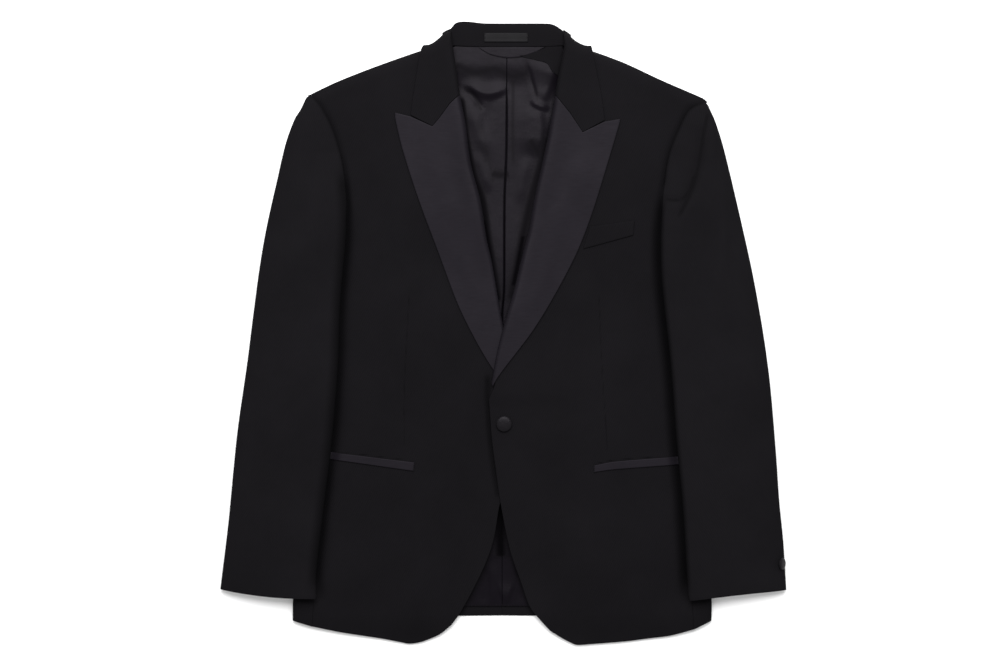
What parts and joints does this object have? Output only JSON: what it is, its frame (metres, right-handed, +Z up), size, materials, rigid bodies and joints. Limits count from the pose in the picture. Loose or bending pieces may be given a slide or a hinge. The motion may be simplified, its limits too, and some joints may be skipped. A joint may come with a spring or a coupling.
{
  "type": "dinner jacket",
  "caption": "Single-breasted dinner jacket lying flat on its back, front up, with satin peak lapels, long sleeves and a covered button closing the front.",
  "frame": {"origin": "centre of the laid-out jacket's box, on the surface that it lies on", "axes": "+Z up from the surface, towards the viewer; +Y from the hem towards the collar; +X towards the wearer's left"},
  "size_m": [0.7256, 0.7986, 0.033],
  "materials": {
    "wool": "matt black worsted wool",
    "satin": "black satin facing cloth",
    "lining": "black satin-woven lining",
    "label": "blank woven label strip",
    "covered_button": "button covered in black satin"
  },
  "bodies": {
    "root": {"back_left": "wool", "back_right": "wool", "side_left": "wool", "side_right": "wool", "front_left": "wool", "front_right": "wool", "lapel_left": "satin", "lapel_right": "satin", "collar_left": "wool", "collar_right": "wool", "collar_back": "wool", "sleeve_top_left": "wool", "sleeve_top_right": "wool", "sleeve_under_left": "wool", "sleeve_under_right": "wool", "lining_left": "lining", "lining_right": "lining", "back_neck_facing": "wool", "label": "label", "hip_jet_left": "satin", "hip_jet_right": "satin", "breast_welt": "wool", "front_button": "covered_button", "cuff_button": "covered_button"}
  },
  "joints": []
}
